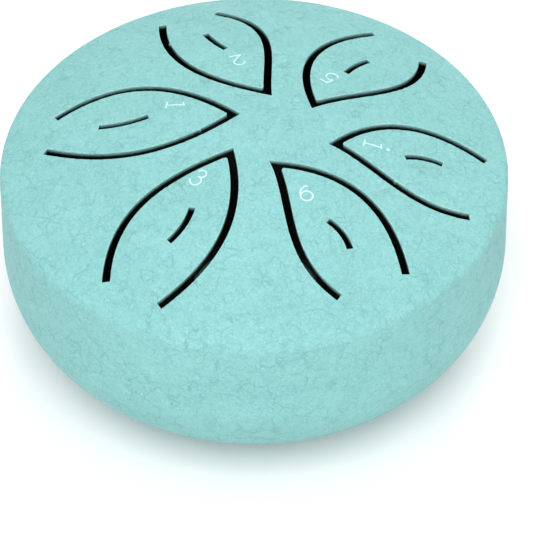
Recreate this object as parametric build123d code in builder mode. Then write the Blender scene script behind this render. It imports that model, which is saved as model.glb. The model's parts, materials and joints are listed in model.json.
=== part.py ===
"""Mini steel tongue drum: a domed plate with six tongues, welded on a deep-drawn cup.

Millimetres. Origin on the drum's axis at the level the feet stand on, +Z up, -Y to the player.
"""
from build123d import *
from math import atan2, cos, degrees, radians, sin, sqrt
import os

# Driving dimensions -------------------------------------------------------------------------
rim_radius = 38.5          # outside of the side wall where it meets the domed top
wall_radius = 38.85        # outside of the side wall at its widest, just above the base curve
wall_height = 13.8         # from the rim down to the start of the base curve
base_curve = 16.1          # outside radius of the large curve between side wall and base
dome_rise = 8.1            # crown of the top above the rim
sheet = 0.9                # thickness of the steel in both pressings
rim_round = 1.1            # outside radius of the dressed weld at the rim

foot_height = 2.6
foot_radius = 4.0
foot_edge = 1.2            # rounding of the foot's lower edge
foot_circle = 18.0         # distance of each foot from the axis
foot_angles = (45, 135, 225, 315)
tape_thickness = 0.2
tape_radius = 3.7

hole_radius = 10.0         # sound hole in the base, clear inside its turned lip
lip_bend = 0.8             # inside radius of the lip's bend
lip_height = 1.6           # straight part of the lip above the bend

kerf = 1.2                 # width of the cut round each tongue
slit_kerf = 1.0            # width of the short tuning slit in each tongue
root_gap = 0.08            # clearance on the line where the tongue bends
tip_round = 0.35           # rounding of the tongue's pointed end
reach = 0.34               # length of each curve handle, as a part of the side's chord

numeral_height = 3.0
numeral_pen = 0.25         # width of a stroke
numeral_depth = 0.08       # engraved pocket that holds the paint
numeral_proud = 0.02       # paint standing above the steel
octave_dot = 0.3           # radius of the dot over the high note's numeral

# Each tongue is a leaf seen from above, drawn to the nearest half millimetre and half degree.
#   tip, left, right   the middle of the cut at the leaf's point and at its two ends by the
#                      root, as (distance from the drum's axis, degrees); left is as seen
#                      from the tip
#   left_bow, right_bow  how far the side's curve handles stand off its chord, (tip, root) end
#   slit               three points of the tuning slit: (distance from the tip, shift to left)
#   numeral            (distance from the tip, shift to left, turn away from the tip's direction)
tongues = {
    "1": dict(tip=(4, 137), left=(31.5, 179.5), right=(31, 166.5),
              left_bow=(7, 7.5), right_bow=(6, 8.5),
              slit=((13, -0.5), (16.5, 0.5), (20.5, 0.5)), numeral=(9, -2.5, -5)),
    "2": dict(tip=(8, 74.5), left=(32.5, 116), right=(32.5, 100.5),
              left_bow=(6.5, 7), right_bow=(2.5, 8.5),
              slit=((13.5, 0), (16.5, 0.5), (19.5, 0.5)), numeral=(9.5, 0, -8)),
    "3": dict(tip=(6.5, -123), left=(34, -114), right=(34, -129.5),
              left_bow=(6, 6.5), right_bow=(4, 7.5),
              slit=((11.5, 0.5), (15, 1), (18, 0.5)), numeral=(6.5, -1.5, -7)),
    "5": dict(tip=(10.5, 29.5), left=(33, 55), right=(33.5, 38),
              left_bow=(7, 6.5), right_bow=(1.5, 7.5),
              slit=((10, 1), (13, 1), (15.5, 0.5)), numeral=(7, 2, -7)),
    "6": dict(tip=(8.5, -68.5), left=(33.5, -49), right=(32.5, -68),
              left_bow=(7, 6.5), right_bow=(0.5, 5.5),
              slit=((12.5, 0.5), (15.5, 1), (18, 0.5)), numeral=(7, 0.5, -16)),
    "high_1": dict(tip=(12.5, -14.5), left=(35, -2), right=(34.5, -22.5),
                   left_bow=(6.5, 5.5), right_bow=(0.5, 5),
                   slit=((10.5, 1), (13.5, 2), (16, 2)), numeral=(5.5, 1.5, 178)),
}

# Worked-out levels and centres --------------------------------------------------------------
base_z = foot_height + tape_thickness
widest_z = base_z + base_curve
rim_z = widest_z + wall_height
crown_z = rim_z + dome_rise
dome_radius = (rim_radius ** 2 + dome_rise ** 2) / (2 * dome_rise)
dome_centre = Vector(0, 0, crown_z - dome_radius)
weld_radius = rim_radius - rim_round
weld_z = dome_centre.Z + sqrt((dome_radius - rim_round) ** 2 - weld_radius ** 2)
weld_angle = degrees(atan2(weld_z - dome_centre.Z, weld_radius))
over_all = crown_z + 5     # reach of a cut that goes right through the plate

os.makedirs("parts", exist_ok=True)


def save(piece, name):
    """Label a finished piece and write its STEP file."""
    piece.label = name
    export_step(piece, f"parts/{name}.step")


def plan_point(distance, angle):
    """Point seen from above, at a distance from the axis and an angle from +X."""
    return Vector(distance * cos(radians(angle)), distance * sin(radians(angle)))


def on_ray(centre_r, centre_z, radius, angle):
    """Point of the section plane at a radius and an angle from a centre."""
    return (centre_r + radius * cos(radians(angle)), centre_z + radius * sin(radians(angle)))


def dome_point(place, depth=0.0):
    """Point straight above a plan point, depth below the dome's outer face."""
    height = sqrt((dome_radius - depth) ** 2 - place.X ** 2 - place.Y ** 2)
    return Vector(place.X, place.Y, dome_centre.Z + height)


# Outlines seen from above -------------------------------------------------------------------
def leaf_points(tongue):
    """Tip, the two ends of the cut, the unit axis from the tip, and the unit left normal."""
    tip = plan_point(*tongue["tip"])
    left = plan_point(*tongue["left"])
    right = plan_point(*tongue["right"])
    axis = ((left + right) / 2 - tip).normalized()
    return tip, left, right, axis, Vector(-axis.Y, axis.X)


def side_curve(start, end, bow, hand):
    """One side of a leaf, bowed outwards; hand is 1 on the left and -1 on the right."""
    chord = end - start
    out = Vector(-chord.Y, chord.X).normalized() * hand
    near, far = bow
    Bezier(start, start + chord * reach + out * near, end - chord * reach + out * far, end)


def leaf_sides(tongue):
    """Both sides of the leaf, along the middle of the cut."""
    tip, left, right, axis, normal = leaf_points(tongue)
    side_curve(tip, left, tongue["left_bow"], 1)
    side_curve(tip, right, tongue["right_bow"], -1)


def root_line(tongue):
    """The uncut line between the two ends of the cut, where the tongue bends."""
    tip, left, right, axis, normal = leaf_points(tongue)
    Line(left, right)


def slit_line(tongue):
    """Middle of the short curved slit that runs along the leaf."""
    tip, left, right, axis, normal = leaf_points(tongue)
    near, middle, far = [tip + axis * along + normal * shift for along, shift in tongue["slit"]]
    ThreePointArc(near, middle, far)


def cutter_path(line_maker, tongue, width):
    """Face swept by a cutter of this width along a line."""
    with BuildSketch() as path:
        with BuildLine():
            line_maker(tongue)
        trace(line_width=width)
    return path.sketch


def leaf_face(tongue):
    """The whole leaf, out to the middle of the cut."""
    with BuildSketch() as face:
        with BuildLine():
            leaf_sides(tongue)
            root_line(tongue)
        make_face()
    return face.sketch


def tongue_face(tongue):
    """What is left of the leaf inside the cut, without its slit and clear of the root line."""
    with BuildSketch() as face:
        add(leaf_face(tongue))
        add(cutter_path(leaf_sides, tongue, kerf), mode=Mode.SUBTRACT)
        add(cutter_path(root_line, tongue, 2 * root_gap), mode=Mode.SUBTRACT)
        tip = leaf_points(tongue)[0]
        fillet(face.vertices().sort_by_distance(tip)[0], tip_round)
        add(cutter_path(slit_line, tongue, slit_kerf), mode=Mode.SUBTRACT)
    return face.sketch


# Pressings, revolved about the drum's axis --------------------------------------------------
def plate_section():
    """Domed plate from the axis to the weld, cut square to the sheet at the weld."""
    inside = dome_radius - sheet
    half = (90 + weld_angle) / 2
    outer = [on_ray(0, dome_centre.Z, dome_radius, angle) for angle in (90, half, weld_angle)]
    inner = [on_ray(0, dome_centre.Z, inside, angle) for angle in (weld_angle, half, 90)]
    ThreePointArc(*outer)
    Line(outer[2], inner[0])
    ThreePointArc(*inner)
    Line(inner[2], outer[0])


def weld_section():
    """Corner weld between plate and cup, dressed round on the outside."""
    angles = (0, weld_angle / 2, weld_angle)
    outer = [on_ray(weld_radius, weld_z, rim_round, angle) for angle in angles]
    inner = [on_ray(weld_radius, weld_z, rim_round - sheet, angle) for angle in angles]
    ThreePointArc(*outer)
    Line(outer[2], inner[2])
    ThreePointArc(*inner)
    Line(inner[0], outer[0])


def cup_section():
    """Cup: side wall, large base curve, flat base, and the lip turned up round the hole."""
    flat_edge = wall_radius - base_curve
    lip_centre = hole_radius + sheet + lip_bend
    lip_start = base_z + sheet + lip_bend
    lip_top = lip_start + lip_height
    inner_curve = base_curve - sheet
    Line((rim_radius, weld_z), (wall_radius, widest_z))
    ThreePointArc((wall_radius, widest_z),
                  on_ray(flat_edge, widest_z, base_curve, -45), (flat_edge, base_z))
    Line((flat_edge, base_z), (lip_centre, base_z))
    ThreePointArc((lip_centre, base_z),
                  on_ray(lip_centre, lip_start, lip_bend + sheet, -135), (hole_radius, lip_start))
    Polyline((hole_radius, lip_start), (hole_radius, lip_top),
             (hole_radius + sheet, lip_top), (hole_radius + sheet, lip_start))
    ThreePointArc((hole_radius + sheet, lip_start),
                  on_ray(lip_centre, lip_start, lip_bend, -135), (lip_centre, base_z + sheet))
    Line((lip_centre, base_z + sheet), (flat_edge, base_z + sheet))
    ThreePointArc((flat_edge, base_z + sheet), on_ray(flat_edge, widest_z, inner_curve, -45),
                  (wall_radius - sheet, widest_z))
    Polyline((wall_radius - sheet, widest_z), (rim_radius - sheet, weld_z), (rim_radius, weld_z))


def pressing(section_maker):
    """Solid of revolution of one section about the drum's axis."""
    with BuildPart() as solid:
        with BuildSketch(Plane.XZ):
            with BuildLine():
                section_maker()
            make_face()
        revolve(axis=Axis.Z)
    return solid.part


with BuildPart() as cup:
    add(pressing(cup_section))
save(cup.part, "body_cup")

with BuildPart() as rim_weld:
    add(pressing(weld_section))
save(rim_weld.part, "rim_weld")

with BuildPart() as top_plate:
    add(pressing(plate_section))
    for shape in tongues.values():
        with BuildSketch():
            add(leaf_face(shape))
            add(cutter_path(leaf_sides, shape, kerf))
        extrude(amount=over_all, mode=Mode.SUBTRACT)
save(top_plate.part, "top_plate")


# Numerals -----------------------------------------------------------------------------------
def numeral_strokes(name):
    """Pen strokes of a numeral, one unit high about its middle."""
    if name in ("1", "high_1"):
        Line((-0.22, -0.45), (0.22, -0.45))
        Line((0, -0.45), (0, 0.45))
        Line((0.05, 0.45), (-0.2, 0.38))
    if name == "2":
        ThreePointArc((-0.27, 0.2), (0.0, 0.45), (0.27, 0.2))
        Spline((0.27, 0.2), (0.06, -0.12), (-0.28, -0.45), tangents=((0, -1), (-1, -0.9)))
        Line((-0.3, -0.45), (0.3, -0.45))
    if name == "3":
        ThreePointArc((-0.22, 0.35), (0.22, 0.25), (-0.04, 0.06))
        ThreePointArc((-0.04, 0.06), (0.27, -0.2), (-0.29, -0.28))
    if name == "5":
        Polyline((0.24, 0.44), (-0.2, 0.44), (-0.24, 0.02))
        ThreePointArc((-0.24, 0.02), (0.28, -0.14), (-0.27, -0.32))
    if name == "6":
        Spline((0.2, 0.42), (-0.16, 0.26), (-0.3, -0.16), tangents=((-1, 0.1), (0, -1)))
        ThreePointArc((-0.3, -0.16), (0.0, -0.45), (0.3, -0.16))
        ThreePointArc((0.3, -0.16), (0.0, 0.14), (-0.3, -0.16))


def numeral_plane(tongue):
    """Plane touching the dome under the numeral, its y axis to the top of the numeral."""
    tip, left, right, axis, normal = leaf_points(tongue)
    along, shift, turn = tongue["numeral"]
    centre = dome_point(tip + axis * along + normal * shift)
    outward = (centre - dome_centre).normalized()
    upright = (axis * -1).rotate(Axis.Z, turn)
    return Plane(origin=centre, x_dir=upright.cross(outward), z_dir=outward)


def numeral_solid(name, tongue):
    """Paint of one numeral, filling its engraved pocket and standing slightly proud."""
    plane = numeral_plane(tongue)
    with BuildPart() as paint:
        with BuildSketch(plane.offset(-numeral_depth)):
            with BuildLine() as strokes:
                numeral_strokes(name)
            pen = numeral_pen / numeral_height
            for stroke in strokes.edges():
                trace(stroke, line_width=pen)
            with Locations(*strokes.vertices()):
                Circle(pen / 2)
            scale(by=numeral_height)
            if name == "high_1":
                with Locations((0, 0.8 * numeral_height)):
                    Circle(octave_dot)
        extrude(amount=numeral_depth + numeral_proud)
    return paint.part


# Tongues and their numerals -----------------------------------------------------------------
for name, shape in tongues.items():
    numeral = numeral_solid(name, shape)
    with BuildPart() as blade:
        add(pressing(plate_section))
        with BuildSketch():
            add(tongue_face(shape))
        extrude(amount=over_all, mode=Mode.INTERSECT)
        add(numeral, mode=Mode.SUBTRACT)
    save(blade.part, f"tongue_{name}")
    save(numeral, f"numeral_{name}")


# Feet ---------------------------------------------------------------------------------------
for number, angle in enumerate(foot_angles, start=1):
    centre = plan_point(foot_circle, angle)
    with BuildPart() as foot:
        with BuildSketch(Plane.XY):
            with Locations(centre):
                Circle(foot_radius)
        extrude(amount=foot_height)
        fillet(foot.edges().group_by(Axis.Z)[0], foot_edge)
    save(foot.part, f"foot_{number}")
    with BuildPart() as tape:
        with BuildSketch(Plane.XY.offset(foot_height)):
            with Locations(centre):
                Circle(tape_radius)
        extrude(amount=tape_thickness)
    save(tape.part, f"foot_tape_{number}")
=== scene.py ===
import json
import math

import bpy
import numpy as np
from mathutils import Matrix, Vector
from mathutils.geometry import delaunay_2d_cdt
from mathutils.kdtree import KDTree


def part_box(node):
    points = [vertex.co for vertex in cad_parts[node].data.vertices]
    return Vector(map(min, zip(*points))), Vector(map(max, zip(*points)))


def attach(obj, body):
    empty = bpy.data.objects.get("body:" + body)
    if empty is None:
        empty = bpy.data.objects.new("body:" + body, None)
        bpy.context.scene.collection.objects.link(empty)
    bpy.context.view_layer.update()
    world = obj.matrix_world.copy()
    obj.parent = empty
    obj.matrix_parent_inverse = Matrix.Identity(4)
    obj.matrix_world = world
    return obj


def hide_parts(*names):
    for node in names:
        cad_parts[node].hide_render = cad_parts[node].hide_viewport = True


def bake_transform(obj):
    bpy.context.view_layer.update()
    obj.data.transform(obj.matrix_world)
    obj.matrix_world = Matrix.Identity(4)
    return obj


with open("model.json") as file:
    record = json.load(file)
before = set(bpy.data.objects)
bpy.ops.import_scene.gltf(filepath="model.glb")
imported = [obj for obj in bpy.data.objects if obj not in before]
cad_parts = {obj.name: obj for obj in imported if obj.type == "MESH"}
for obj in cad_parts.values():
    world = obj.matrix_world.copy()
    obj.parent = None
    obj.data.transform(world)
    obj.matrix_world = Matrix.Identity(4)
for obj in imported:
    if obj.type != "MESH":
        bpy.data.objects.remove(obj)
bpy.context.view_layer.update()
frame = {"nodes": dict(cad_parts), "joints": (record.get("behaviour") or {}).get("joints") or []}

# Lengths are in millimetres up to the point where a mesh is made. The camera, the lights and
# the bending of pieces are in metres.
METRE = 0.001

# Drum ---------------------------------------------------------------------------------------
SHEET = 0.9
RIM_RADIUS = 38.5
WALL_RADIUS = 38.85
RIM_ROUND = 1.1
BASE_CURVE = 16.1
DOME_RISE = 8.1
BASE_Z = 2.8
WIDEST_Z = BASE_Z + BASE_CURVE
RIM_Z = WIDEST_Z + 13.8
CROWN_Z = RIM_Z + DOME_RISE
DOME_RADIUS = (RIM_RADIUS**2 + DOME_RISE**2) / (2 * DOME_RISE)
DOME_Z = CROWN_Z - DOME_RADIUS
WELD_RADIUS = RIM_RADIUS - RIM_ROUND
WELD_Z = DOME_Z + math.sqrt((DOME_RADIUS - RIM_ROUND) ** 2 - WELD_RADIUS**2)
WELD_ANGLE = math.atan2(WELD_Z - DOME_Z, WELD_RADIUS)
PLATE_EDGE = DOME_RADIUS * math.cos(WELD_ANGLE)
HOLE_RADIUS = 10.0
LIP_BEND = 0.8
LIP_HEIGHT = 1.6
LIP_BEVEL = 0.2

# Slots --------------------------------------------------------------------------------------
TONGUES = ("1", "2", "3", "5", "6", "high_1")
EDGE_ROUND = 0.13          # the paint rounds over the cut's upper corner
ROUND_ROWS = 4
WALL_ROWS = 4
# Small stubs left standing on a tongue's edge: (tongue, part of the way along its outline)
STUBS = (("2", 0.13), ("1", 0.42), ("high_1", 0.735))
STUB_REACH = 0.26
STUB_WIDTH = 0.14

# Mesh density -------------------------------------------------------------------------------
SEGMENTS = 640
GRID = 0.29
OUTLINE_STEP = 0.16
UNDER_GRID = 1.3
INSIDE_SEGMENTS = 160
WELD_ROWS = 8
WALL_STEPS = 32
BASE_CURVE_STEPS = 61
BASE_STEPS = 15
LIP_STEPS = 7
INSIDE_LIP_ROWS = 7
INSIDE_CURVE_ROWS = 20
INSIDE_WELD_ROWS = 3
GRID_CLEARANCE = 0.55      # of a step, kept clear round every outline
MERGE_DISTANCE = 1e-5
LEAST_AREA = 1e-9


# Plan geometry ------------------------------------------------------------------------------
SHARP_TURN = math.radians(20)
ON_LINE = 0.012
ON_DOME = 0.004            # how far under the dome a point still counts as on it
LEAST_MITRE = 0.45


def unit(vectors):
    """The same vectors, one long."""
    return vectors / np.linalg.norm(vectors, axis=-1, keepdims=True)


def turned_left(vectors):
    """Plan vectors turned a quarter to the left."""
    return np.stack((-vectors[..., 1], vectors[..., 0]), axis=-1)


def resample(points, step):
    """Points at an even spacing along a line, both ends kept."""
    lengths = np.concatenate(([0], np.cumsum(np.linalg.norm(np.diff(points, axis=0), axis=1))))
    count = max(2, int(round(lengths[-1] / step)) + 1)
    at = np.linspace(0, lengths[-1], count)
    return np.stack([np.interp(at, lengths, points[:, k]) for k in (0, 1)], axis=1)


def resample_corners(points, step):
    """Points at an even spacing along a line, its ends and its sharp corners kept."""
    edges = unit(np.diff(points, axis=0))
    turns = np.arccos(np.clip((edges[1:] * edges[:-1]).sum(axis=1), -1, 1))
    stops = [0, *(np.flatnonzero(turns > SHARP_TURN) + 1), len(points) - 1]
    runs = [resample(points[a:b + 1], step) for a, b in zip(stops, stops[1:])]
    return np.vstack([run[:-1] for run in runs] + [runs[-1][-1:]])


def frame_triangles(node):
    """Places in mm of a CAD node, its doubled points merged, and its triangles."""
    mesh = frame["nodes"][node].data
    mesh.calc_loop_triangles()
    places = np.array([v.co for v in mesh.vertices]) / METRE
    triangles = np.array([t.vertices for t in mesh.loop_triangles])
    rounded, merged = np.unique(np.round(places, 3), axis=0, return_inverse=True)
    return rounded, merged.ravel()[triangles]


def boundary_loops(triangles):
    """Closed runs of points round a patch of triangles, metal on the left."""
    directed = {(a, b) for t in triangles.tolist() for a, b in zip(t, t[1:] + t[:1])}
    after = {a: b for a, b in directed if (b, a) not in directed}
    loops = []
    while after:
        start = min(after)
        loop = [start]
        while after[loop[-1]] != start:
            loop.append(after.pop(loop[-1]))
        after.pop(loop[-1])
        loops.append(loop)
    return loops


def outer_face_loops(node):
    """Outlines in plan of a CAD node's outer face, longest first."""
    places, triangles = frame_triangles(node)
    above = np.linalg.norm(places - (0, 0, DOME_Z), axis=1) - DOME_RADIUS
    face = triangles[(above[triangles] > -ON_DOME).all(axis=1)]
    loops = [places[loop][:, :2] for loop in boundary_loops(face)]
    return sorted(loops, key=lambda p: -np.linalg.norm(np.roll(p, 1, axis=0) - p, axis=1).sum())


def hinge(name):
    """Plan point on a tongue's root line and the unit direction from it to the tip."""
    joint = next(j for j in frame["joints"] if j["child"] == "tongue_" + name)
    root = np.array(joint["pos_m"][:2]) / METRE
    along = turned_left(np.array(joint["axis"][:2]))
    blade = outer_face_loops("tongue_" + name)[0]
    return root, along * np.sign((blade.mean(axis=0) - root) @ along)


def open_at_root(loop, away):
    """A closed outline as a line between its corners on the root line, where away is least."""
    on_root = np.abs(away) < ON_LINE
    last = next(i for i in range(len(loop)) if on_root[i - 1] and not on_root[i]) - 1
    turned, flags = np.roll(loop, -last, axis=0), np.roll(on_root, -last)
    first = next(i for i in range(1, len(loop)) if flags[i])
    return turned[:first + 1]


def with_stubs(name, points):
    """A tongue's edge with its small stubs."""
    run = np.linspace(0, 1, len(points))
    length = np.linalg.norm(np.diff(points, axis=0), axis=1).sum()
    size = sum((np.exp(-(((run - part) * length / STUB_WIDTH) ** 2))
                for owner, part in STUBS if owner == name), np.zeros(len(points)))
    out = -turned_left(unit(np.gradient(points, axis=0)))
    return points + out * (size * STUB_REACH)[:, None]


def slot_outline(name):
    """Closed outline of a tongue's cut, and which of its points are on the tongue's side."""
    root, along = hinge(name)
    blade = outer_face_loops("tongue_" + name)[0]
    middle = blade.mean(axis=0)[None]
    opening = next(p for p in outer_face_loops("top_plate")[1:] if inside(middle, p)[0])
    away = (blade - root) @ along
    outer = resample_corners(open_at_root(opening, (opening - root) @ along), OUTLINE_STEP)
    inner = resample_corners(open_at_root(blade, away - away.min()), OUTLINE_STEP)
    inner = with_stubs(name, inner)
    return counter_clockwise(np.vstack((outer, inner)),
                             np.arange(len(outer) + len(inner)) >= len(outer))


def counter_clockwise(points, marks):
    """The same closed outline, running counter-clockwise."""
    x, y = points.T
    area = np.dot(x, np.roll(y, -1)) - np.dot(y, np.roll(x, -1))
    return (points, marks) if area > 0 else (points[::-1], marks[::-1])


def numeral_middle(name):
    """Plan point at the middle of a numeral."""
    low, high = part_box("numeral_" + name)
    return np.array((low + high)[:2]) / 2 / METRE


def slit_outline(name):
    """Closed outline of the short slit, the opening in a tongue that isn't its numeral's."""
    middle = numeral_middle(name)
    openings = outer_face_loops("tongue_" + name)[1:]
    slit = max(openings, key=lambda p: np.linalg.norm(p.mean(axis=0) - middle))
    points = closed_resample(slit, OUTLINE_STEP)
    return counter_clockwise(points, np.ones(len(points), bool))


def closed_resample(loop, step):
    """A closed outline at an even spacing, its sharp corners kept."""
    edges = unit(np.roll(loop, -1, axis=0) - loop)
    straight = (edges * np.roll(edges, 1, axis=0)).sum(axis=1)
    turned = np.roll(loop, -int(straight.argmin()), axis=0)
    return resample_corners(np.vstack((turned, turned[:1])), step)[:-1]


def grown(points, distance):
    """A closed counter-clockwise outline moved outwards, its corners mitred."""
    edges = unit(np.roll(points, -1, axis=0) - points)
    out = -turned_left(edges)
    before = np.roll(out, 1, axis=0)
    middle = unit(out + before)
    share = np.maximum((middle * out).sum(axis=1, keepdims=True), LEAST_MITRE)
    return points + middle / share * distance


def inside(places, outline):
    """Which places are inside a closed outline."""
    found = np.zeros(len(places), bool)
    low, high = outline.min(axis=0), outline.max(axis=0)
    near = np.flatnonzero(((places >= low) & (places <= high)).all(axis=1))
    x, y = places[near].T
    odd = np.zeros(len(near), bool)
    for (ax, ay), (bx, by) in zip(outline, np.roll(outline, -1, axis=0)):
        if ay != by:
            odd ^= ((ay > y) != (by > y)) & (x < (bx - ax) * (y - ay) / (by - ay) + ax)
    found[near] = odd
    return found


def dome_places(plan, depth=0.0):
    """Places straight above plan points, some depth under the dome's outer face."""
    radius = DOME_RADIUS - np.asarray(depth)
    height = DOME_Z + np.sqrt(radius**2 - (plan**2).sum(axis=1))
    return np.column_stack((plan, height))


def dome_normals(places):
    """Directions out of the dome."""
    return unit(places - np.array((0, 0, DOME_Z)))


# Triangulated sheet with its cuts -----------------------------------------------------------
def honeycomb(step, radius):
    """Evenly spread plan points in a circle."""
    rows = np.arange(-radius, radius, step * math.sqrt(3) / 2)
    columns = np.arange(-radius, radius, step)
    x, y = np.meshgrid(columns, rows)
    x = x + (np.arange(len(rows)) % 2 * step / 2)[:, None]
    points = np.column_stack((x.ravel(), y.ravel()))
    return points[np.linalg.norm(points, axis=1) < radius - step / 2]


def root_corners(marks):
    """Indices of the first and last points on the tongue's side of a slot outline."""
    changes = np.flatnonzero(marks != np.roll(marks, 1))
    first = next(i for i in changes if marks[i])
    last = next(i for i in changes if not marks[i]) - 1
    return first, last % len(marks)


def tongue_run(outline, marks):
    """The tongue's side of a slot outline, from root corner to root corner."""
    first, last = root_corners(marks)
    count = (last - first) % len(outline) + 1
    return np.roll(outline, -first, axis=0)[:count]


def closed_edges(start, count):
    """Edges round a closed run of points."""
    return [(start + i, start + (i + 1) % count) for i in range(count)]


def sheet_triangles(radius, step, slots, slits):
    """Plan mesh of the sheet with its cuts: points, triangles, owners, and each loop's points."""
    angles = 2 * math.pi * np.arange(SEGMENTS) / SEGMENTS
    blocks = [radius * np.stack((np.cos(angles), np.sin(angles)), axis=1)]
    edges = closed_edges(0, SEGMENTS)
    starts = {"rim": 0}
    total = SEGMENTS
    for name, (outline, marks) in {**slots, **slits}.items():
        starts[name] = total
        edges += closed_edges(total, len(outline))
        blocks.append(outline)
        total += len(outline)
    for name, (outline, marks) in slots.items():
        first, last = root_corners(marks)
        line = resample(outline[[last, first]], step)[1:-1]
        chain = [starts[name] + last, *range(total, total + len(line)), starts[name] + first]
        edges += list(zip(chain, chain[1:]))
        blocks.append(line)
        total += len(line)
    fixed = np.vstack(blocks)
    filling = honeycomb(step, radius)
    tree = KDTree(len(fixed))
    for i, (x, y) in enumerate(fixed):
        tree.insert((x, y, 0), i)
    tree.balance()
    clear = [tree.find((x, y, 0))[2] > step * GRID_CLEARANCE for x, y in filling]
    points = [Vector(p) for p in np.vstack((fixed, filling[clear]))]
    places, _, triangles, origins, _, _ = delaunay_2d_cdt(points, edges, [], 0, MERGE_DISTANCE, True)
    places = np.array(places, float)
    triangles = np.array([t for t in triangles if len(t) == 3])
    back = np.full(len(points), -1)
    for made, sources in enumerate(origins):
        back[list(sources)] = made
    loops = {name: back[start:start + len({**slots, **slits}[name][0])]
             for name, start in starts.items() if name != "rim"}
    loops["rim"] = back[:SEGMENTS]
    return places, *owned(places, triangles, slots, slits), loops


def owned(places, triangles, slots, slits):
    """Triangles that are metal, turned upwards, and the name of the piece each is part of."""
    a, b, c = (places[triangles[:, k]] for k in range(3))
    area = (b - a)[:, 0] * (c - a)[:, 1] - (b - a)[:, 1] * (c - a)[:, 0]
    triangles = np.where((area < 0)[:, None], triangles[:, ::-1], triangles)
    middles = (a + b + c) / 3
    owners = np.full(len(triangles), "top_plate", dtype="<U16")
    metal = np.abs(area) > LEAST_AREA
    for name, (outline, marks) in slots.items():
        owners[inside(middles, tongue_run(outline, marks))] = name
        metal &= ~inside(middles, outline)
    for outline, marks in slits.values():
        metal &= ~inside(middles, outline)
    return triangles[metal], owners[metal]


# A growing surface --------------------------------------------------------------------------
class Surface:
    """Places, directions of relief and slot marks, with faces that know their piece."""

    def __init__(self):
        self.places, self.lifts, self.depths, self.wears_and_highlights = [], [], [], []
        self.faces, self.owners, self.count = [], [], 0

    def add_places(self, places, lifts, depths=0.0, wears_and_highlights=0.0):
        """Adds places and gives their indices."""
        start, count = self.count, len(places)
        self.places.append(places)
        self.lifts.append(lifts)
        self.depths.append(np.broadcast_to(depths, (count,)))
        self.wears_and_highlights.append(np.broadcast_to(wears_and_highlights, (count,)))
        self.count += count
        return np.arange(start, start + count)

    def add_faces(self, faces, owners):
        """Adds faces, all one piece's or each its own."""
        faces = [list(f) for f in np.asarray(faces).tolist()]
        self.faces += faces
        self.owners += [owners] * len(faces) if isinstance(owners, str) else list(owners)

    def arrays(self):
        """Everything as arrays."""
        return (np.vstack(self.places), np.vstack(self.lifts), np.concatenate(self.depths),
                np.concatenate(self.wears_and_highlights))


def strip_faces(upper, lower):
    """Quads between two closed rows of equal length."""
    return np.stack((upper, np.roll(upper, -1), np.roll(lower, -1), lower), axis=1)


def add_slot_walls(surface, outline, marks, first_row, inner_owner):
    """Rounded edge and wall of one cut, going down from the sheet's outer face."""
    turns = np.radians(np.linspace(0, 90, ROUND_ROWS + 1))[1:]
    rows = [(EDGE_ROUND * (1 - math.sin(t)), EDGE_ROUND * (1 - math.cos(t))) for t in turns]
    rows += [(0.0, d) for d in np.linspace(EDGE_ROUND, SHEET, WALL_ROWS + 1)[1:]]
    both = marks & np.roll(marks, -1)
    owners = np.where(both, inner_owner, "top_plate")
    upper = first_row
    for out, depth in rows:
        places = dome_places(grown(outline, out), depth)
        lift = dome_normals(places) * (1 - depth / SHEET)
        # paleness for wear and a painted highlight, strongest on the rounded edge
        wear_and_highlight = max(0.0, 1 - depth / (2 * EDGE_ROUND))
        lower = surface.add_places(places, lift, depth, wear_and_highlight)
        surface.add_faces(strip_faces(upper, lower), owners)
        upper = lower


def outer_profile():
    """Half section of the outside below the plate: (radius, height, normal out, normal up)."""
    rows = []
    for angle in np.linspace(WELD_ANGLE, 0, WELD_ROWS):
        c, s = math.cos(angle), math.sin(angle)
        rows.append((WELD_RADIUS + RIM_ROUND * c, WELD_Z + RIM_ROUND * s, c, s))
    for t in np.linspace(0, 1, WALL_STEPS + 1)[1:]:
        rows.append((RIM_RADIUS + (WALL_RADIUS - RIM_RADIUS) * t,
                     WELD_Z + (WIDEST_Z - WELD_Z) * t, 1.0, 0.0))
    flat = WALL_RADIUS - BASE_CURVE
    for angle in np.radians(np.linspace(0, -90, BASE_CURVE_STEPS + 1))[1:]:
        c, s = math.cos(angle), math.sin(angle)
        rows.append((flat + BASE_CURVE * c, WIDEST_Z + BASE_CURVE * s, c, s))
    lip = HOLE_RADIUS + SHEET + LIP_BEND
    for t in np.linspace(0, 1, BASE_STEPS + 1)[1:]:
        rows.append((flat + (lip - flat) * t, BASE_Z, 0.0, -1.0))
    for angle in np.radians(np.linspace(-90, -180, LIP_STEPS + 1))[1:]:
        c, s = math.cos(angle), math.sin(angle)
        bend = LIP_BEND + SHEET
        rows.append((lip + bend * c, BASE_Z + bend + bend * s, c, s))
    return np.array(rows)


def inner_profile():
    """Half section of the inside, from the lip's top round to the plate's underside."""
    lip = HOLE_RADIUS + SHEET + LIP_BEND
    start = BASE_Z + SHEET + LIP_BEND
    top = start + LIP_HEIGHT
    outside = lip - LIP_BEND
    rows = [(HOLE_RADIUS, start), (HOLE_RADIUS, top - LIP_BEVEL),
            (HOLE_RADIUS + LIP_BEVEL, top), (outside - LIP_BEVEL, top),
            (outside, top - LIP_BEVEL)]
    for angle in np.radians(np.linspace(-180, -90, INSIDE_LIP_ROWS)):
        rows.append((lip + LIP_BEND * math.cos(angle), start + LIP_BEND * math.sin(angle)))
    flat = WALL_RADIUS - BASE_CURVE
    for angle in np.radians(np.linspace(-90, 0, INSIDE_CURVE_ROWS)):
        bend = BASE_CURVE - SHEET
        rows.append((flat + bend * math.cos(angle), WIDEST_Z + bend * math.sin(angle)))
    rows.append((RIM_RADIUS - SHEET, WELD_Z))
    return np.array(rows)


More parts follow.
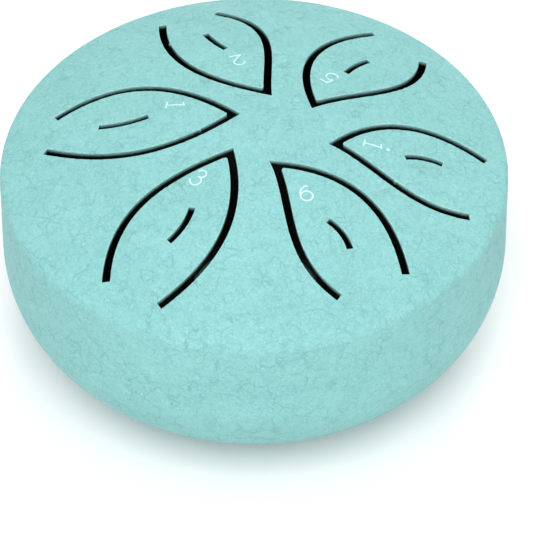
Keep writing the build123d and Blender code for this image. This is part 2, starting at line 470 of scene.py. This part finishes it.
def revolved(profile, segments):
    """Places of a half section turned about the axis, row by row."""
    angles = 2 * math.pi * np.arange(segments) / segments
    circle = np.stack((np.cos(angles), np.sin(angles)), axis=1)
    return [np.column_stack((circle * r, np.full(segments, z))) for r, z in profile[:, :2]]


def add_outer_rows(surface, rim_row):
    """Weld, side wall, base curve, base and lip, hung from the plate's rim."""
    profile = outer_profile()
    upper = rim_row
    angles = 2 * math.pi * np.arange(SEGMENTS) / SEGMENTS
    for k, places in enumerate(revolved(profile, SEGMENTS)[1:], start=1):
        out, up = profile[k, 2:]
        lift = np.column_stack((np.cos(angles) * out, np.sin(angles) * out,
                                np.full(SEGMENTS, up)))
        lower = surface.add_places(places, lift)
        owner = "rim_weld" if k < WELD_ROWS else "body_cup"
        surface.add_faces(strip_faces(upper, lower)[:, ::-1], owner)
        upper = lower


def painted_surface():
    """The whole outside of the drum as one surface."""
    surface = Surface()
    cuts = {name: slot_outline(name) for name in TONGUES}
    slits = {"slit_" + name: slit_outline(name) for name in TONGUES}
    slots_up = {n: (grown(o, EDGE_ROUND), m) for n, (o, m) in cuts.items()}
    slits_up = {n: (grown(o, EDGE_ROUND), m) for n, (o, m) in slits.items()}
    plan, triangles, owners, loops = sheet_triangles(PLATE_EDGE, GRID, slots_up, slits_up)
    places = dome_places(plan)
    surface.add_places(places, dome_normals(places))
    names = [o if o == "top_plate" else "tongue_" + o for o in owners]
    surface.add_faces(triangles, names)
    for name, (outline, marks) in {**cuts, **slits}.items():
        owner = "tongue_" + name.replace("slit_", "")
        add_slot_walls(surface, outline, marks, loops[name], owner)
    add_outer_rows(surface, loops["rim"])
    return surface, cuts, slits


def underside(cuts, slits):
    """Inner face of the plate and tongues: places, triangles and owners."""
    edge = (DOME_RADIUS - SHEET) * math.cos(WELD_ANGLE)
    plan, triangles, owners, _ = sheet_triangles(edge, UNDER_GRID, cuts, slits)
    places = dome_places(plan, SHEET)
    names = np.array([o if o == "top_plate" else "tongue_" + o for o in owners])
    return places, triangles[:, ::-1], names


# Node helpers -------------------------------------------------------------------------------
def add_node(tree, kind, values=None, **settings):
    """A node with its settings, and its inputs linked or set."""
    made = tree.nodes.new(kind)
    for key, value in settings.items():
        setattr(made, key, value)
    for key, value in (values or {}).items():
        if isinstance(value, bpy.types.NodeSocket):
            tree.links.new(value, made.inputs[key])
        else:
            made.inputs[key].default_value = value
    return made


def maths(tree, operation, *values):
    """Output of a Math node."""
    return add_node(tree, "ShaderNodeMath", dict(enumerate(values)),
                    operation=operation).outputs[0]


def vector_maths(tree, operation, *values):
    """Output of a Vector Math node."""
    return add_node(tree, "ShaderNodeVectorMath", dict(enumerate(values)),
                    operation=operation).outputs[0]


def noise(tree, place, scale, detail=2.0, roughness=0.5, distortion=0.0):
    """A noise node."""
    return add_node(tree, "ShaderNodeTexNoise",
                    {"Vector": place, "Scale": scale, "Detail": detail,
                     "Roughness": roughness, "Distortion": distortion})


def between(tree, value, low, high, to_low=0.0, to_high=1.0):
    """Value eased from one range to another."""
    made = add_node(tree, "ShaderNodeMapRange",
                    {"Value": value, "From Min": low, "From Max": high,
                     "To Min": to_low, "To Max": to_high},
                    interpolation_type="SMOOTHSTEP")
    return made.outputs["Result"]


def mixed(tree, factor, first, second):
    """Two colours mixed."""
    made = add_node(tree, "ShaderNodeMix", data_type="RGBA")
    for socket, value in ((0, factor), (6, first), (7, second)):
        if isinstance(value, bpy.types.NodeSocket):
            tree.links.new(value, made.inputs[socket])
        else:
            made.inputs[socket].default_value = value
    return made.outputs[2]


def rgba(red, green, blue):
    """A linear colour from sRGB values out of 255."""
    parts = [v / 255 for v in (red, green, blue)]
    return (*[v / 12.92 if v <= 0.04045 else ((v + 0.055) / 1.055) ** 2.4 for v in parts], 1)


# The paint's wrinkled relief ----------------------------------------------------------------
CELL = 0.40                # large creased cells to the millimetre
FOLD = 0.95                # small folds to the millimetre
CREASE_DEPTH = 0.045
FOLD_DEPTH = 0.030
SWELL_HEIGHT = 0.045


def wrinkles(tree, place):
    """Height in mm, the crease mask and the fold mask of the paint at a place in mm."""
    drift = vector_maths(tree, "SUBTRACT", noise(tree, place, 0.42, 3.0, 0.6).outputs["Color"],
                         (0.5, 0.5, 0.5))
    warped = vector_maths(tree, "MULTIPLY_ADD", drift, (2.6, 2.6, 2.6), place)
    cells = add_node(tree, "ShaderNodeTexVoronoi", {"Vector": warped, "Scale": CELL},
                     feature="DISTANCE_TO_EDGE").outputs["Distance"]
    folds = add_node(tree, "ShaderNodeTexVoronoi", {"Vector": warped, "Scale": FOLD},
                     feature="DISTANCE_TO_EDGE").outputs["Distance"]
    strength = between(tree, noise(tree, place, 0.30, 2.0).outputs[0], 0.38, 0.66)
    crease = maths(tree, "MULTIPLY", between(tree, cells, 0.0, 0.075, 1.0, 0.0), strength)
    faint = between(tree, noise(tree, place, 0.55, 2.0).outputs[0], 0.36, 0.56)
    fold = maths(tree, "MULTIPLY", between(tree, folds, 0.0, 0.13, 1.0, 0.0), faint)
    swell = maths(tree, "SUBTRACT", noise(tree, warped, 0.75, 3.0, 0.55, 0.4).outputs[0], 0.5)
    height = maths(tree, "MULTIPLY", swell, SWELL_HEIGHT)
    height = maths(tree, "MULTIPLY_ADD", crease, -CREASE_DEPTH, height)
    height = maths(tree, "MULTIPLY_ADD", fold, -FOLD_DEPTH, height)
    return height, crease, fold


def relief_group():
    """Geometry nodes that raise the paint's relief along each point's own direction."""
    tree = bpy.data.node_groups.new("paint_relief", "GeometryNodeTree")
    tree.interface.new_socket("Geometry", in_out="INPUT", socket_type="NodeSocketGeometry")
    tree.interface.new_socket("Geometry", in_out="OUTPUT", socket_type="NodeSocketGeometry")
    entry = tree.nodes.new("NodeGroupInput")
    leave = tree.nodes.new("NodeGroupOutput")
    place = vector_maths(tree, "MULTIPLY", add_node(tree, "GeometryNodeInputPosition").outputs[0],
                         (1 / METRE,) * 3)
    height = wrinkles(tree, place)[0]
    lift = add_node(tree, "GeometryNodeInputNamedAttribute", {"Name": "lift"},
                    data_type="FLOAT_VECTOR").outputs["Attribute"]
    scaled = add_node(tree, "ShaderNodeVectorMath",
                      {0: lift, "Scale": maths(tree, "MULTIPLY", height, METRE)},
                      operation="SCALE").outputs[0]
    moved = add_node(tree, "GeometryNodeSetPosition",
                     {"Geometry": entry.outputs[0], "Offset": scaled})
    tree.links.new(moved.outputs[0], leave.inputs[0])
    return tree


RELIEF = relief_group()


def new_mesh(name, places, faces):
    """A mesh in metres from places in millimetres."""
    mesh = bpy.data.meshes.new(name)
    mesh.from_pydata((np.asarray(places) * METRE).tolist(), [], faces)
    mesh.update()
    return mesh


def relieved(places, lifts, faces):
    """Places and vertex normals after the paint's relief, the places in millimetres."""
    mesh = new_mesh("relief_source", places, faces)
    lift = mesh.attributes.new("lift", "FLOAT_VECTOR", "POINT")
    lift.data.foreach_set("vector", np.asarray(lifts, np.float32).ravel())
    holder = bpy.data.objects.new("relief_source", mesh)
    bpy.context.scene.collection.objects.link(holder)
    holder.modifiers.new("relief", "NODES").node_group = RELIEF
    made = holder.evaluated_get(bpy.context.evaluated_depsgraph_get()).to_mesh()
    moved = np.zeros(len(places) * 3)
    made.vertices.foreach_get("co", moved)
    normals = np.zeros(len(places) * 3)
    made.vertex_normals.foreach_get("vector", normals)
    bpy.data.objects.remove(holder)
    bpy.data.meshes.remove(mesh)
    return moved.reshape(-1, 3) / METRE, normals.reshape(-1, 3)


# Materials ----------------------------------------------------------------------------------
def new_material(name):
    """An empty material, with its tree and its Principled node."""
    material = bpy.data.materials.new(name)
    material.use_nodes = True
    tree = material.node_tree
    shader = next(n for n in tree.nodes if n.type == "BSDF_PRINCIPLED")
    return material, tree, shader


def attribute(tree, name, output):
    """A value stored on the mesh."""
    return add_node(tree, "ShaderNodeAttribute", attribute_name=name).outputs[output]


def bumped(tree, shader, height, distance, strength=1.0):
    """Sends a height in to the shader's normal."""
    bump = add_node(tree, "ShaderNodeBump",
                    {"Height": height, "Distance": distance, "Strength": strength})
    tree.links.new(bump.outputs[0], shader.inputs["Normal"])


PAINT = rgba(133, 193, 191)
PAINT_CLOUD = rgba(138, 198, 196)
PAINT_DEEP = rgba(105, 172, 171)
PAINT_LIGHT = rgba(161, 213, 211)
# painted shade: the colour put down in the paint's creases and folds
CREASE_SHADE = rgba(88, 146, 144)
# chalky paint for specks and worn edges, also the painted highlight on the cut edges
CHALK_AND_HIGHLIGHT = rgba(226, 243, 241)
# near-black primer, also the painted shade down the cuts and inside
PRIMER_AND_SHADE = rgba(9, 11, 12)


def paint_colour(tree, place, crease, fold, mottle, fibre):
    """The topcoat's colour: cloudy, finely streaked, with painted shade down in its creases."""
    cloud = between(tree, noise(tree, place, 0.11, 3.0, 0.6).outputs[0], 0.3, 0.7)
    colour = mixed(tree, cloud, PAINT, PAINT_CLOUD)
    colour = mixed(tree, between(tree, mottle, 0.50, 0.75, 0.0, 0.20), colour, PAINT_LIGHT)
    colour = mixed(tree, between(tree, mottle, 0.25, 0.50, 0.24, 0.0), colour, PAINT_DEEP)
    colour = mixed(tree, between(tree, fibre, 0.34, 0.48, 0.50, 0.0), colour, PAINT_DEEP)
    colour = mixed(tree, between(tree, fibre, 0.52, 0.66, 0.0, 0.50), colour, PAINT_LIGHT)
    # painted shade: creases and folds darkened in the colour
    colour = mixed(tree, maths(tree, "MULTIPLY", crease, 0.28), colour, CREASE_SHADE)
    colour = mixed(tree, maths(tree, "MULTIPLY", fold, 0.20), colour, CREASE_SHADE)
    specks = add_node(tree, "ShaderNodeTexVoronoi", {"Vector": place, "Scale": 0.50})
    speck = between(tree, specks.outputs["Distance"], 0.03, 0.09, 0.22, 0.0)
    return mixed(tree, speck, colour, CHALK_AND_HIGHLIGHT)


def painted_steel():
    """Teal wrinkle-finish paint, thin inside the cuts and darkened there as painted shade, rubbed
    pale on their edges with a painted highlight.
    """
    material, tree, shader = new_material("painted_steel")
    place = attribute(tree, "rest_mm", "Vector")
    height, crease, fold = wrinkles(tree, place)
    mottle = noise(tree, place, 1.3, 4.0, 0.65, 0.8).outputs[0]
    fibre = noise(tree, place, 2.7, 3.0, 0.6, 2.2).outputs[0]
    colour = paint_colour(tree, place, crease, fold, mottle, fibre)
    wear_and_highlight = attribute(tree, "wear_and_highlight", "Fac")
    # wear and painted highlight: the cut edges rubbed pale towards chalk
    rubbed_and_highlit = maths(tree, "MULTIPLY", wear_and_highlight, between(tree, mottle, 0.40, 0.65, 0.10, 0.45))
    colour = mixed(tree, rubbed_and_highlit, colour, CHALK_AND_HIGHLIGHT)
    # painted shade: down the cut walls the colour goes near-black, as the topcoat thins to primer
    # and as the walls lie in shade
    depth = attribute(tree, "depth", "Fac")
    thinning_and_shade = maths(tree, "MULTIPLY", depth, maths(tree, "MULTIPLY_ADD", mottle, 0.6, 0.7))
    colour = mixed(tree, between(tree, thinning_and_shade, 0.05, 0.85), colour, PRIMER_AND_SHADE)
    tree.links.new(colour, shader.inputs["Base Color"])
    rough = maths(tree, "MULTIPLY_ADD", fibre, 0.22, 0.42)
    tree.links.new(maths(tree, "MULTIPLY_ADD", crease, 0.15, rough), shader.inputs["Roughness"])
    shader.inputs["Specular IOR Level"].default_value = 0.22
    fine = maths(tree, "MULTIPLY_ADD", fibre, 0.150, height)
    fine = maths(tree, "MULTIPLY_ADD", mottle, 0.100, fine)
    bumped(tree, shader, fine, METRE, 0.9)
    return material


def primer_and_shade_inside():
    """Black primer on the steel inside, where no topcoat reaches, kept this dark as painted shade
    for the inside seen through the cuts.
    """
    material, tree, shader = new_material("inside_primer_and_shade")
    place = add_node(tree, "ShaderNodeTexCoord").outputs["Object"]
    grain = noise(tree, place, 900.0, 4.0, 0.6).outputs[0]
    colour = mixed(tree, between(tree, grain, 0.4, 0.7), PRIMER_AND_SHADE, rgba(30, 33, 34))
    tree.links.new(colour, shader.inputs["Base Color"])
    tree.links.new(maths(tree, "MULTIPLY_ADD", grain, 0.25, 0.5), shader.inputs["Roughness"])
    bumped(tree, shader, grain, 0.00005)
    return material


def numeral_paint():
    """White fill paint, a little worn, with the teal showing through."""
    material, tree, shader = new_material("numeral_paint")
    place = attribute(tree, "rest_mm", "Vector")
    patch = noise(tree, place, 2.2, 4.0, 0.7, 0.5).outputs[0]
    colour = mixed(tree, between(tree, patch, 0.30, 0.52, 0.75, 0.0),
                   rgba(192, 222, 223), rgba(150, 204, 203))
    tree.links.new(colour, shader.inputs["Base Color"])
    tree.links.new(maths(tree, "MULTIPLY_ADD", patch, 0.2, 0.45), shader.inputs["Roughness"])
    bumped(tree, shader, noise(tree, place, 6.0, 3.0).outputs[0], 0.00003)
    return material


def foot_rubber():
    """Moulded black rubber with a dusty bloom."""
    material, tree, shader = new_material("foot_rubber")
    place = add_node(tree, "ShaderNodeTexCoord").outputs["Object"]
    grain = noise(tree, place, 2400.0, 3.0, 0.6).outputs[0]
    bloom = noise(tree, place, 260.0, 4.0, 0.65).outputs[0]
    colour = mixed(tree, between(tree, bloom, 0.45, 0.75), rgba(30, 31, 32), rgba(66, 67, 67))
    tree.links.new(colour, shader.inputs["Base Color"])
    tree.links.new(maths(tree, "MULTIPLY_ADD", bloom, 0.3, 0.55), shader.inputs["Roughness"])
    bumped(tree, shader, grain, 0.00004)
    return material


def foot_adhesive():
    """Milky acrylic foam tape."""
    material, tree, shader = new_material("foot_adhesive")
    place = add_node(tree, "ShaderNodeTexCoord").outputs["Object"]
    foam = noise(tree, place, 3000.0, 3.0, 0.6).outputs[0]
    colour = mixed(tree, between(tree, foam, 0.35, 0.7), rgba(196, 196, 190), rgba(228, 228, 222))
    tree.links.new(colour, shader.inputs["Base Color"])
    tree.links.new(maths(tree, "MULTIPLY_ADD", foam, 0.2, 0.6), shader.inputs["Roughness"])
    bumped(tree, shader, foam, 0.00004)
    return material


STEEL = painted_steel()
INSIDE = primer_and_shade_inside()
WHITE = numeral_paint()
RUBBER = foot_rubber()
TAPE = foot_adhesive()


# Pieces -------------------------------------------------------------------------------------
def store(mesh, name, kind, values):
    """Keeps values on a mesh's points for its material."""
    made = mesh.attributes.new(name, kind, "POINT")
    made.data.foreach_set("vector" if kind == "FLOAT_VECTOR" else "value",
                          np.asarray(values, np.float32).ravel())


def steel_piece(name, outer, lining):
    """One piece: its painted outside and its near-black inside, primer and painted shade.

    outer is (places, normals, rest places, depths, wears and painted highlights, faces); lining is
    the same places, normals and faces only.
    """
    places, normals, rest, depths, wears_and_highlights, faces = outer
    used = np.unique(np.concatenate([np.asarray(f) for f in faces]))
    renumber = np.full(len(places), -1)
    renumber[used] = np.arange(len(used))
    outside = [renumber[f].tolist() for f in faces]
    extra, extra_normals, extra_faces = lining
    inner = (np.asarray(extra_faces) + len(used)).tolist() if len(extra_faces) else []
    mesh = new_mesh(name, np.vstack((places[used], extra)), outside + inner)
    store(mesh, "rest_mm", "FLOAT_VECTOR", np.vstack((rest[used], extra)))
    store(mesh, "depth", "FLOAT", np.concatenate((depths[used], np.full(len(extra), SHEET))))
    store(mesh, "wear_and_highlight", "FLOAT", np.concatenate((wears_and_highlights[used], np.zeros(len(extra)))))
    mesh.materials.append(STEEL)
    mesh.materials.append(INSIDE)
    index = np.concatenate((np.zeros(len(outside), int), np.ones(len(inner), int)))
    mesh.polygons.foreach_set("material_index", index)
    mesh.normals_split_custom_set_from_vertices(np.vstack((normals[used], extra_normals)))
    return link(name, mesh)


def link(name, mesh):
    """The mesh as an object in the scene."""
    made = bpy.data.objects.new(name, mesh)
    bpy.context.scene.collection.objects.link(made)
    return made


def cup_lining():
    """Inside of the cup and its turned lip: places, normals and faces."""
    profile = inner_profile()
    slopes = unit(np.gradient(profile, axis=0))
    rows = revolved(profile, INSIDE_SEGMENTS)
    angles = 2 * math.pi * np.arange(INSIDE_SEGMENTS) / INSIDE_SEGMENTS
    normals, faces = [], []
    for k, (dr, dz) in enumerate(slopes):
        normals.append(np.column_stack((-dz * np.cos(angles), -dz * np.sin(angles),
                                        np.full(INSIDE_SEGMENTS, dr))))
        if k:
            upper = np.arange((k - 1) * INSIDE_SEGMENTS, k * INSIDE_SEGMENTS)
            faces.append(strip_faces(upper, upper + INSIDE_SEGMENTS)[:, ::-1])
    return np.vstack(rows), np.vstack(normals), np.vstack(faces)


def weld_lining():
    """Small inside corner between cup and plate."""
    radius = RIM_ROUND - SHEET
    rows = [(WELD_RADIUS + radius * math.cos(a), WELD_Z + radius * math.sin(a), 0, 0)
            for a in np.linspace(0, WELD_ANGLE, INSIDE_WELD_ROWS)]
    places = np.vstack(revolved(np.array(rows), INSIDE_SEGMENTS))
    inward = unit(places * (1, 1, 0)) * -1
    rings = [np.arange(k * INSIDE_SEGMENTS, (k + 1) * INSIDE_SEGMENTS)
             for k in range(INSIDE_WELD_ROWS)]
    faces = np.vstack([strip_faces(a, b)[:, ::-1] for a, b in zip(rings, rings[1:])])
    return places, inward, faces


BEND_START = 0.03          # parts of a tongue's length, from the root, where root_ends puts its two places
BEND_END = 0.50            # begins and is complete


def root_ends(name):
    """Places in metres near the root and well along the tongue."""
    root, along = hinge(name)
    length = ((outer_face_loops("tongue_" + name)[0] - root) @ along).max()
    ends = [root + along * length * part for part in (BEND_START, BEND_END)]
    return [tuple(p * METRE) for p in dome_places(np.array(ends))]


def build_steel():
    """Every steel piece, cut out of the one painted surface."""
    surface, cuts, slits = painted_surface()
    rest, lifts, depths, wears_and_highlights = surface.arrays()
    places, normals = relieved(rest, lifts, surface.faces)
    owners = np.array(surface.owners)
    under_places, under_faces, under_owners = underside(cuts, slits)
    linings = {"body_cup": cup_lining(), "rim_weld": weld_lining()}
    for name in ("top_plate", *("tongue_" + t for t in TONGUES)):
        faces = under_faces[under_owners == name]
        used = np.unique(faces)
        renumber = np.full(len(under_places), -1)
        renumber[used] = np.arange(len(used))
        linings[name] = (under_places[used], -dome_normals(under_places[used]),
                         renumber[faces])
    for name, lining in linings.items():
        faces = [np.array(surface.faces[i]) for i in np.flatnonzero(owners == name)]
        piece = steel_piece(name + "_finished", (places, normals, rest, depths, wears_and_highlights, faces),
                            lining)
        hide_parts(name)
        if name.startswith("tongue_"):
            start, end = root_ends(name.replace("tongue_", ""))
            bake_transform(piece)
        else:
            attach(piece, "drum_shell")


# Numerals -----------------------------------------------------------------------------------
NUMERAL_STEP = 0.09
NUMERAL_PROUD = 0.018
NUMERAL_SUNK = 0.05
FACING_OUT = 0.9           # least cosine between an upper triangle and the dome
FLAT = 0.01                # how far a point may lie under the numeral's upper face


def numeral_loops(name):
    """Outlines in plan of a numeral's upper face."""
    places, triangles = frame_triangles("numeral_" + name)
    outward = dome_normals(places.mean(axis=0)[None])[0]
    a, b, c = (places[triangles[:, k]] for k in range(3))
    areas = np.cross(b - a, c - a)
    facing = areas @ outward > FACING_OUT * np.linalg.norm(areas, axis=1)
    height = places @ unit(areas[facing].sum(axis=0))
    face = triangles[(height[triangles] > height.max() - FLAT).all(axis=1)]
    return [closed_resample(places[p][:, :2], NUMERAL_STEP) for p in boundary_loops(face)]


def numeral_mesh(name):
    """Paint of one numeral, lying on the wrinkled paint of its tongue."""
    loops = numeral_loops(name)
    edges = []
    for start, loop in zip(np.cumsum([0] + [len(p) for p in loops]).tolist(), loops):
        edges += closed_edges(start, len(loop))
    points = [Vector(p) for p in np.vstack(loops)]
    flat, _, triangles, _, _, _ = delaunay_2d_cdt(points, edges, [], 0, MERGE_DISTANCE, True)
    flat, triangles = np.array(flat, float), np.array(triangles)
    middles = flat[triangles].mean(axis=1)
    covered = np.logical_xor.reduce([inside(middles, loop) for loop in loops])
    triangles = triangles[covered].tolist()
    on_dome = dome_places(flat)
    normals = dome_normals(on_dome)
    top = relieved(on_dome, normals, triangles)[0] + normals * NUMERAL_PROUD
    bottom = top - normals * (NUMERAL_PROUD + NUMERAL_SUNK)
    directed = {(a, b) for t in triangles for a, b in zip(t, t[1:] + t[:1])}
    count = len(top)
    sides = [[b, a, a + count, b + count] for a, b in sorted(directed)
             if (b, a) not in directed]
    mesh = new_mesh("numeral_" + name + "_fill", np.vstack((top, bottom)), triangles + sides)
    store(mesh, "rest_mm", "FLOAT_VECTOR", np.vstack((on_dome, on_dome)))
    mesh.materials.append(WHITE)
    return mesh


def build_numerals():
    """White numerals on the tongues."""
    for name in TONGUES:
        piece = link(f"numeral_{name}_fill", numeral_mesh(name))
        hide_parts("numeral_" + name)
        start, end = root_ends(name)
        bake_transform(piece)


# Feet ---------------------------------------------------------------------------------------
FOOT_CIRCLE = 18.0
FOOT_ANGLES = (45, 135, 225, 315)
FOOT_SEGMENTS = 72
# (distance from the foot's axis, height), from the recess underneath round to the top
FOOT_SECTION = (
    (0.0, 0.40), (1.2, 0.40), (1.9, 0.38), (2.1, 0.30), (2.25, 0.10), (2.4, 0.02), (2.6, 0.0),
    (3.0, 0.0), (3.3, 0.06), (3.6, 0.24), (3.82, 0.52), (3.93, 0.82), (3.97, 1.15),
    (3.95, 1.6), (3.92, 2.0), (3.99, 2.06), (3.99, 2.12), (3.90, 2.18), (3.86, 2.45),
    (3.78, 2.56), (3.62, 2.6), (0.0, 2.6),
)


def foot_mesh(name, angle):
    """One moulded foot, recessed underneath, with the mould's parting line."""
    section = np.array(FOOT_SECTION)
    turn = math.radians(angle)
    centre = FOOT_CIRCLE * np.array((math.cos(turn), math.sin(turn), 0))
    rings = [r + centre for r in revolved(section[1:-1], FOOT_SEGMENTS)]
    places = np.vstack((centre + (0, 0, section[0, 1]), *rings, centre + (0, 0, section[-1, 1])))
    rows = [1 + np.arange(k * FOOT_SEGMENTS, (k + 1) * FOOT_SEGMENTS) for k in range(len(rings))]
    faces = [q for a, b in zip(rows, rows[1:]) for q in strip_faces(a, b).tolist()]
    last = len(places) - 1
    faces += [[0, b, a] for a, b in zip(rows[0].tolist(), np.roll(rows[0], -1).tolist())]
    faces += [[last, a, b] for a, b in zip(rows[-1].tolist(), np.roll(rows[-1], -1).tolist())]
    mesh = new_mesh(name, places, faces)
    mesh.shade_smooth()
    mesh.materials.append(RUBBER)
    return mesh


def build_feet():
    """Feet and the tape that holds them."""
    for number, angle in enumerate(FOOT_ANGLES, start=1):
        name = f"foot_{number}_moulded"
        piece = link(name, foot_mesh(name, angle))
        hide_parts(f"foot_{number}")
        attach(piece, "drum_shell")
        tape = frame["nodes"][f"foot_tape_{number}"]
        tape.data.materials.clear()
        tape.data.materials.append(TAPE)


# Camera, light and floor --------------------------------------------------------------------
CAMERA_DISTANCE = 0.462
CAMERA_ELEVATION = 44.0
CAMERA_AIM = (0.00663, -0.03512, -1.0)    # looked along, in the camera's own axes
CAMERA_LENS = 199.4
LIGHT_TARGET = (0, 0, 0.03)
SKY_STRENGTH = 0.72
FLOOR_SIZE = 6
FLOOR_WHITE = 0.9


def build_camera():
    """Long lens from the player's side, above the drum."""
    data = bpy.data.cameras.new("camera")
    data.lens = CAMERA_LENS
    data.clip_start = 0.01
    data.clip_end = 50
    camera = bpy.data.objects.new("camera", data)
    bpy.context.scene.collection.objects.link(camera)
    angle = math.radians(CAMERA_ELEVATION)
    back = Vector((0, -math.cos(angle), math.sin(angle)))
    camera.location = Vector((0, 0, RIM_Z * METRE)) + back * CAMERA_DISTANCE
    level = (-back).to_track_quat("-Z", "Y")
    camera.rotation_mode = "QUATERNION"
    camera.rotation_quaternion = (level @ Vector(CAMERA_AIM)).to_track_quat("-Z", "Y")
    bpy.context.scene.camera = camera


def build_area(name, place, size, power):
    """A soft square light aimed at the drum."""
    data = bpy.data.lights.new(name, "AREA")
    data.size = size
    data.energy = power
    lamp = bpy.data.objects.new(name, data)
    bpy.context.scene.collection.objects.link(lamp)
    lamp.location = place
    aim = Vector(LIGHT_TARGET) - Vector(place)
    lamp.rotation_mode = "QUATERNION"
    lamp.rotation_quaternion = aim.to_track_quat("-Z", "Y")


def build_studio():
    """Pale floor, even sky, and soft lights from the front and the back."""
    scene = bpy.context.scene
    scene.view_settings.view_transform = "Standard"
    world = bpy.data.worlds.new("studio")
    scene.world = world
    world.use_nodes = True
    sky = next(n for n in world.node_tree.nodes if n.type == "BACKGROUND")
    sky.inputs["Color"].default_value = (1, 1, 1, 1)
    sky.inputs["Strength"].default_value = SKY_STRENGTH
    build_area("key", (-0.02, -0.42, 0.62), 0.5, 4.2)
    build_area("back", (0.10, 0.50, 0.42), 0.35, 1.2)
    bpy.ops.mesh.primitive_plane_add(size=FLOOR_SIZE)
    floor = bpy.context.object
    floor.name = "floor"
    material, _, shader = new_material("floor")
    shader.inputs["Base Color"].default_value = (FLOOR_WHITE, FLOOR_WHITE, FLOOR_WHITE, 1)
    shader.inputs["Roughness"].default_value = 0.8
    floor.data.materials.append(material)


build_camera()
build_studio()
build_steel()
build_numerals()
build_feet()
